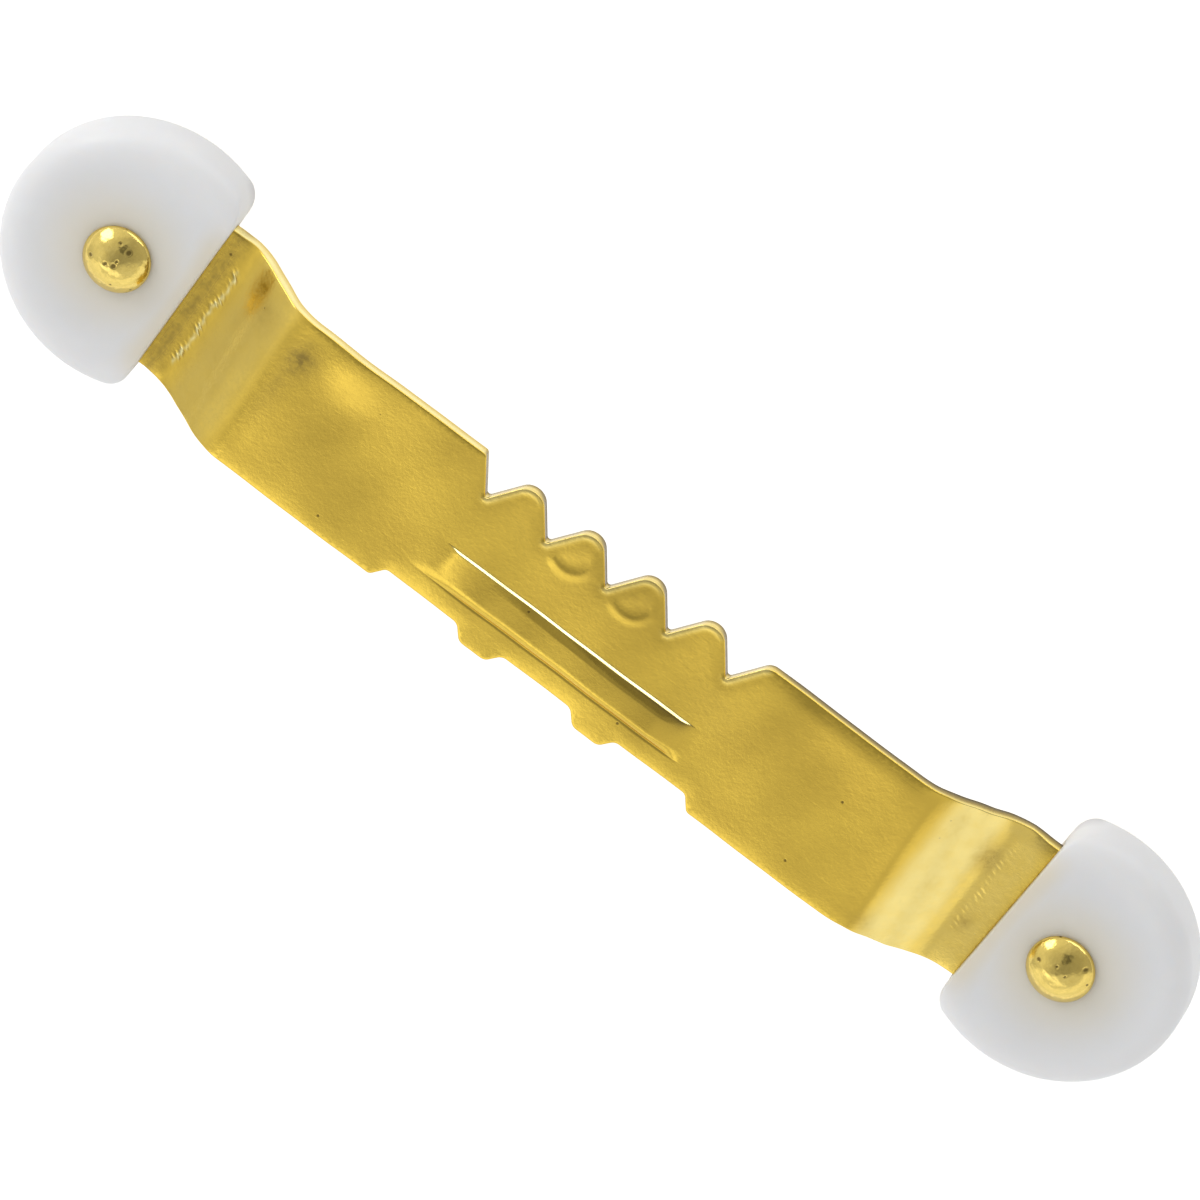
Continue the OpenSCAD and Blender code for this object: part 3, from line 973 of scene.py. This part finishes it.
def make_nail(side, material):
    shell = Shell()
    x = -NAIL_X if side == "left" else NAIL_X
    a = 2 * math.pi * np.arange(TURN_STEPS) / TURN_STEPS

    def ring(radius, z):
        return shell.add(x + radius * np.cos(a), radius * np.sin(a), z)

    rings = [ring(r, z) for r, z in head_profile() + neck_profile()]
    rings += [ring(SHANK_R, z) for z in np.linspace(0, NAIL_TIP + POINT_L, SHANK_STEPS + 1)[1:]]
    square = np.maximum(np.abs(np.cos(a)), np.abs(np.sin(a)))
    for up in np.linspace(POINT_L, 0, POINT_STEPS + 1)[1:-1]:
        rings.append(ring(np.minimum(SHANK_R, SHANK_R * up / POINT_L / square), NAIL_TIP + up))
    for first, second in zip(rings, rings[1:]):
        shell.bridge(first, second)
    for end, z in ((rings[0], HEAD_TOP), (rings[-1], NAIL_TIP)):
        middle = shell.add(x, 0.0, z)[0]
        shell.faces += [(end[i], end[(i + 1) % len(end)], middle) for i in range(len(end))]
    pits = np.zeros(len(shell.points))
    on_dome = shell.points[:, 2] > CAP_H + HEAD_RIM / 2
    for pit_x, pit_y, r in PITS[side]:
        reach = np.hypot(shell.points[:, 0] - x - pit_x, shell.points[:, 1] - pit_y)
        pits = np.maximum(pits, on_dome * smooth(*np.multiply(PIT_EDGE, r), reach))
    shell.points[:, 2] -= PIT_D * pits
    piece = shell.object(f"{side}_pin", material)
    note(piece, "pits", pits)
    return place(piece, f"{side}_brass_nail", f"{side}_nail", f"{side}_nail")


# Materials

# Plated brass, its painted pale sheen, its stains (one of them painted shade), its painted shade
# and its pits
STRIP_COLOURS = ((0.80, 0.56, 0.085, 1), (0.66, 0.455, 0.07, 1))
NAIL_COLOURS = ((0.86, 0.66, 0.19, 1), (0.73, 0.54, 0.13, 1))
SHEEN_COLOUR = (0.95, 0.85, 0.40, 1)
STAIN_AND_SHADE_COLOUR = (0.27, 0.19, 0.05, 1)
SHADE_COLOUR = (0.06, 0.042, 0.014, 1)
PIT = (0.10, 0.065, 0.02, 1)
# Least and most roughness, and the share of cells that have a dark pit
STRIP_ROUGH = (0.11, 0.22)
NAIL_ROUGH = (0.10, 0.20)
STRIP_PITS = 0.02
NAIL_PITS = 0.08
# Relief in millimetres: mottling, grain, the nail's hammered dome, scratches and pits
MOTTLE_H = 0.006
GRAIN_H = 0.003
HAMMER_H = 0.04
SCRATCH_D = 0.0005
SPOT_D = 0.006
# Plastic, its painted warm glow of brass and the painted shade at its foot
PLASTIC_COLOURS = ((0.88, 0.88, 0.885, 1), (0.85, 0.85, 0.855, 1))
BRASS_GLOW_COLOUR = (0.85, 0.76, 0.60, 1)
FOOT_SHADE_COLOUR = (0.45, 0.45, 0.5, 1)
# Floor, and how brightly it shines where it is seen
FLOOR_COLOURS = ((0.80, 0.80, 0.80, 1), (0.78, 0.78, 0.78, 1))
FLOOR_GLOW = 0.55


class Nodes:
    """A material's node tree, built a node at a time."""

    def __init__(self, tree):
        self.tree = tree
        tree.nodes.clear()

    def add(self, kind, inputs=None, **settings):
        made = self.tree.nodes.new(kind)
        for name, value in settings.items():
            setattr(made, name, value)
        for name, value in (inputs or {}).items():
            if isinstance(value, bpy.types.NodeSocket):
                self.tree.links.new(value, made.inputs[name])
            else:
                made.inputs[name].default_value = value
        return made

    def math(self, operation, a, b=0.0):
        return self.add("ShaderNodeMath", {0: a, 1: b}, operation=operation).outputs[0]

    def noise(self, where, scale, detail=3.0, roughness=0.5):
        made = self.add("ShaderNodeTexNoise", {"Vector": where, "Scale": scale, "Detail": detail,
                                               "Roughness": roughness})
        return made.outputs["Fac"]

    def range(self, value, low, high, to_low=0.0, to_high=1.0):
        made = self.add("ShaderNodeMapRange", {"Value": value, "From Min": low, "From Max": high,
                                               "To Min": to_low, "To Max": to_high})
        made.interpolation_type = "SMOOTHSTEP"
        return made.outputs["Result"]

    def mix(self, share, a, b, blend="MIX"):
        made = self.add("ShaderNodeMix", data_type="RGBA", blend_type=blend)
        for socket, value in ((made.inputs[0], share), (made.inputs[6], a), (made.inputs[7], b)):
            if isinstance(value, bpy.types.NodeSocket):
                self.tree.links.new(value, socket)
            else:
                socket.default_value = value
        return made.outputs[2]

    def ramp(self, value, stops):
        """Grey levels at places along a value."""
        made = self.add("ShaderNodeValToRGB", {"Fac": value})
        elements = made.color_ramp.elements
        elements[0].position, elements[1].position = stops[0][0], stops[-1][0]
        for at, _ in stops[1:-1]:
            elements.new(at)
        for element, (_, level) in zip(elements, stops):
            element.color = (level, level, level, 1)
        return made.outputs["Color"]

    def stretched(self, where, scale, turn):
        made = self.add("ShaderNodeMapping", {"Vector": where, "Scale": scale,
                                              "Rotation": (0, 0, turn)})
        return made.outputs["Vector"]

    def attribute(self, name):
        return self.add("ShaderNodeAttribute", attribute_name=name).outputs["Fac"]

    def specks(self, where, scale, size, share):
        """1 inside small spots in some of the cells of a pattern, and 0 elsewhere."""
        cells = self.add("ShaderNodeTexVoronoi", {"Vector": where, "Scale": scale})
        spot = self.range(cells.outputs["Distance"], size, size * 0.4)
        chance = self.add("ShaderNodeSeparateColor", {"Color": cells.outputs["Color"]}).outputs[0]
        return self.math("MULTIPLY", spot, self.math("LESS_THAN", chance, share))


def new_material(name):
    material = bpy.data.materials.new(name)
    material.use_nodes = True
    return material, Nodes(material.node_tree)


def brass(name, colours, rough, pits, worn):
    """Plated brass with tarnish, mottling, scratches and dark pits. Worn brass also has brighter
    edges, stains, painted sheen, highlights and shade, and the other kind has a hammered surface
    and pits of its own."""
    material, n = new_material(name)
    where = n.add("ShaderNodeTexCoord").outputs["Object"]
    light, dark = colours
    broad = n.range(n.noise(where, 190, 3, 0.55), 0.35, 0.68)
    mottle = n.noise(where, 2600, 4, 0.7)
    grain = n.noise(where, 7000, 2, 0.6)
    lines = n.range(n.noise(n.stretched(where, (500, 9000, 9000), 0.5), 1, 2), 0.62, 0.72)
    spots = n.specks(where, 2400, 0.22, pits)
    if not worn:
        spots = n.math("MAXIMUM", spots, n.attribute("pits"))

    colour = n.mix(broad, light, dark)
    colour = n.mix(n.range(mottle, 0.35, 0.7, 0.0, 0.4), colour, dark)
    colour = n.mix(n.range(grain, 0.42, 0.7, 0.0, 0.35), colour, dark)
    colour = n.mix(n.math("MULTIPLY", spots, 0.8), colour, PIT)
    roughness = n.range(mottle, 0.3, 0.75, *rough)
    roughness = n.math("ADD", roughness, n.math("MULTIPLY", spots, 0.25))
    metallic = 1.0
    relief = [(grain, GRAIN_H), (lines, -SCRATCH_D), (spots, -SPOT_D)]
    if worn:
        painted_shade = n.attribute("painted_shade")
        patchy = n.range(n.noise(where, 1300, 4, 0.65), 0.3, 0.62, 0.75, 1.0)
        stain_and_shade = n.math("MULTIPLY", n.attribute("stain_and_shade"), n.range(mottle, 0.35, 0.65, 1.0, 0.5))
        colour = n.mix(n.math("MULTIPLY", n.attribute("edge"), 0.5), colour, light)
        # Painted pale sheen and highlights
        colour = n.mix(n.math("MULTIPLY", n.attribute("painted_sheen"), patchy), colour, SHEEN_COLOUR)
        # Stains, with painted shade beside the left cap
        colour = n.mix(stain_and_shade, colour, STAIN_AND_SHADE_COLOUR)
        # Painted shade in the bead's corner and on the sheared wall
        colour = n.mix(painted_shade, colour, SHADE_COLOUR)
        roughness = n.math("ADD", roughness, n.math("MULTIPLY", stain_and_shade, 0.25))
        roughness = n.math("ADD", roughness, n.range(painted_shade, 0.85, 1.0, 0.0, 0.5))
        metallic = n.math("SUBTRACT", 1.0, painted_shade)
    else:
        relief.append((n.noise(where, 1700, 2, 0.5), HAMMER_H))
    height = n.math("MULTIPLY", mottle, MOTTLE_H)
    for pattern, rise in relief:
        height = n.math("ADD", height, n.math("MULTIPLY", pattern, rise))
    bump = n.add("ShaderNodeBump", {"Height": height, "Strength": 1.0, "Distance": MM})
    shader = n.add("ShaderNodeBsdfPrincipled", {
        "Base Color": colour, "Metallic": metallic, "Roughness": roughness,
        "Specular IOR Level": 0.15, "Normal": bump.outputs["Normal"]})
    n.add("ShaderNodeOutputMaterial", {"Surface": shader.outputs["BSDF"]})
    return material


def milky_plastic():
    """Translucent white moulded plastic, with a painted brass glow round the nail and over the
    strip.
    """
    material, n = new_material("cap_plastic")
    where = n.add("ShaderNodeTexCoord").outputs["Object"]
    cloud = n.range(n.noise(where, 260, 3), 0.3, 0.7)
    grain = n.noise(where, 6000, 3, 0.6)
    colour = n.mix(cloud, *PLASTIC_COLOURS)
    # Painted warm glow of brass light through and on the plastic
    colour = n.mix(n.math("MULTIPLY", n.attribute("brass_glow"), 0.85), colour, BRASS_GLOW_COLOUR)
    # Painted shade round the cap's foot
    colour = n.mix(n.math("MULTIPLY", n.attribute("rim"), 0.6), colour, FOOT_SHADE_COLOUR)
    roughness = n.range(cloud, 0.0, 1.0, 0.36, 0.46)
    bump = n.add("ShaderNodeBump", {"Height": grain, "Strength": 0.08, "Distance": 0.02 * MM})
    shader = n.add("ShaderNodeBsdfPrincipled", {
        "Base Color": colour, "Roughness": roughness, "Normal": bump.outputs["Normal"],
        "Subsurface Weight": 0.7, "Subsurface Radius": (1.0, 0.9, 0.8),
        "Subsurface Scale": 1.6 * MM})
    n.add("ShaderNodeOutputMaterial", {"Surface": shader.outputs["BSDF"]})
    return material


def studio_floor():
    """Pale floor that the camera and reflections see as white, with the object's shadow."""
    material, n = new_material("studio_floor")
    where = n.add("ShaderNodeTexCoord").outputs["Object"]
    grain = n.range(n.noise(where, 40, 2), 0.3, 0.7)
    matt = n.add("ShaderNodeBsdfDiffuse", {"Color": n.mix(grain, *FLOOR_COLOURS)})
    path = n.add("ShaderNodeLightPath").outputs
    seen = n.math("MAXIMUM", path["Is Camera Ray"], path["Is Glossy Ray"])
    seen = n.math("MAXIMUM", seen, path["Is Transmission Ray"])
    strength = n.math("MULTIPLY", seen, FLOOR_GLOW)
    glow = n.add("ShaderNodeEmission", {"Color": (1, 1, 1, 1), "Strength": strength})
    both = n.add("ShaderNodeAddShader", {0: matt.outputs[0], 1: glow.outputs[0]})
    n.add("ShaderNodeOutputMaterial", {"Surface": both.outputs[0]})
    return material


# Camera: on the tooth side, with the strip falling to the right in the picture
CAMERA_TILT = math.radians(29)
CAMERA_ROLL = math.radians(36.95)
FIELD_W = 50.9
AIM = Vector((0.024, 0.038, 1.27))
LENS = 500
SENSOR_W = 36
CLIP = (0.01, 10)
BACK = Vector((0, math.sin(CAMERA_TILT), math.cos(CAMERA_TILT)))


def make_camera():
    data = bpy.data.cameras.new("camera")
    data.lens = LENS
    data.sensor_width = SENSOR_W
    data.clip_start, data.clip_end = CLIP
    camera = bpy.data.objects.new("camera", data)
    bpy.context.scene.collection.objects.link(camera)
    along = Vector((1, 0, 0))
    across = Vector((0, math.cos(CAMERA_TILT), -math.sin(CAMERA_TILT)))
    right = math.cos(CAMERA_ROLL) * along + math.sin(CAMERA_ROLL) * across
    up = math.cos(CAMERA_ROLL) * across - math.sin(CAMERA_ROLL) * along
    turn = Matrix((right, up, BACK)).transposed().to_4x4()
    distance_mm = LENS / SENSOR_W * FIELD_W
    camera.matrix_world = Matrix.Translation((AIM + BACK * distance_mm) * MM) @ turn
    bpy.context.scene.camera = camera


# Studio walls and ceiling: levels at sines of the height angle, on the lit side and on the other
LIT_SIDE = [(0.0, 0.98), (0.24, 1.0), (0.34, 1.15), (0.46, 1.1), (0.57, 0.75), (0.875, 0.73),
            (1.0, 0.64)]
DIM_SIDE = [(0.0, 0.55), (0.12, 0.48), (0.35, 0.54), (0.60, 0.47), (1.0, 0.36)]
LIT_WAY = Vector((0.549, -0.836, 0))
KEY_WAY = Vector((-0.90, 0.28, 0.33))
WALL_WAY = Vector((-0.45, -0.485, 0.75))
# Round patches of the studio: direction, angles of the outer and inner edge in degrees, level
PATCHES = [(BACK, 14, 7, 0.35), (KEY_WAY, 75, 15, 1.75), (WALL_WAY, 28, 12, 1.3)]
# Panel of light: where it starts and is full along y and z, and what it adds
PANEL_Y = (-0.49, -0.61)
PANEL_Z = (0.58, 0.68)
PANEL = 0.8
# Lamps: name, direction, distance, width and height in metres, level
LAMPS = [("key", KEY_WAY, 0.35, 0.17, 0.17, 3.3),
         ("tooth_side", Vector((0.05, 0.985, 0.16)), 0.4, 0.45, 0.08, 2.8)]
FLOOR_HALF = 4.0


def make_world():
    """White walls low down, a greyer ceiling, and darker places such as where the camera stands."""
    world = bpy.data.worlds.new("studio")
    world.use_nodes = True
    n = Nodes(world.node_tree)
    way = n.add("ShaderNodeTexCoord").outputs["Generated"]
    parts = n.add("ShaderNodeSeparateXYZ", {"Vector": way}).outputs
    y, z = parts["Y"], parts["Z"]

    def towards(direction):
        made = n.add("ShaderNodeVectorMath", {0: way, 1: direction}, operation="DOT_PRODUCT")
        return made.outputs["Value"]

    colour = n.mix(n.range(towards(LIT_WAY), 0.2, 0.4), n.ramp(z, DIM_SIDE), n.ramp(z, LIT_SIDE))
    panel = n.math("MULTIPLY", n.range(y, *PANEL_Y), n.range(z, *PANEL_Z))
    strength = n.math("ADD", n.math("MULTIPLY", panel, PANEL), 1.0)
    for direction, outer, inner, level in PATCHES:
        edges = [math.cos(math.radians(angle)) for angle in (outer, inner)]
        patch = n.range(towards(direction), *edges, 1.0, level)
        strength = n.math("MULTIPLY", strength, patch)
    shader = n.add("ShaderNodeBackground", {"Color": colour, "Strength": strength})
    n.add("ShaderNodeOutputWorld", {"Surface": shader.outputs["Background"]})
    bpy.context.scene.world = world


def make_softbox(name, way, distance_m, width, height, level):
    """A soft oval lamp in a direction from the object, as bright as level."""
    data = bpy.data.lights.new(name, "AREA")
    data.shape = "ELLIPSE"
    data.size, data.size_y = width, height
    data.energy = level * math.pi * math.pi * width * height / 4
    lamp = bpy.data.objects.new(name, data)
    bpy.context.scene.collection.objects.link(lamp)
    way = way.normalized()
    lamp.location = way * distance_m
    lamp.rotation_euler = way.to_track_quat("Z", "Y").to_euler()


def make_floor():
    mesh = bpy.data.meshes.new("floor")
    corners = [(x * FLOOR_HALF, y * FLOOR_HALF, 0) for x, y in ((-1, -1), (1, -1), (1, 1), (-1, 1))]
    mesh.from_pydata(corners, [], [(0, 1, 2, 3)])
    mesh.materials.append(studio_floor())
    floor = bpy.data.objects.new("floor", mesh)
    bpy.context.scene.collection.objects.link(floor)
    floor.location.z = NAIL_TIP * MM


make_camera()
make_world()
for lamp in LAMPS:
    make_softbox(*lamp)
make_floor()

strip_brass = brass("plate_metal", STRIP_COLOURS, STRIP_ROUGH, STRIP_PITS, True)
nail_brass = brass("nail_metal", NAIL_COLOURS, NAIL_ROUGH, NAIL_PITS, False)
plastic = milky_plastic()
make_strip(strip_brass)
for side in ("left", "right"):
    make_cap(side, plastic)
    make_nail(side, nail_brass)

scene = bpy.context.scene
scene.view_settings.view_transform = "Standard"
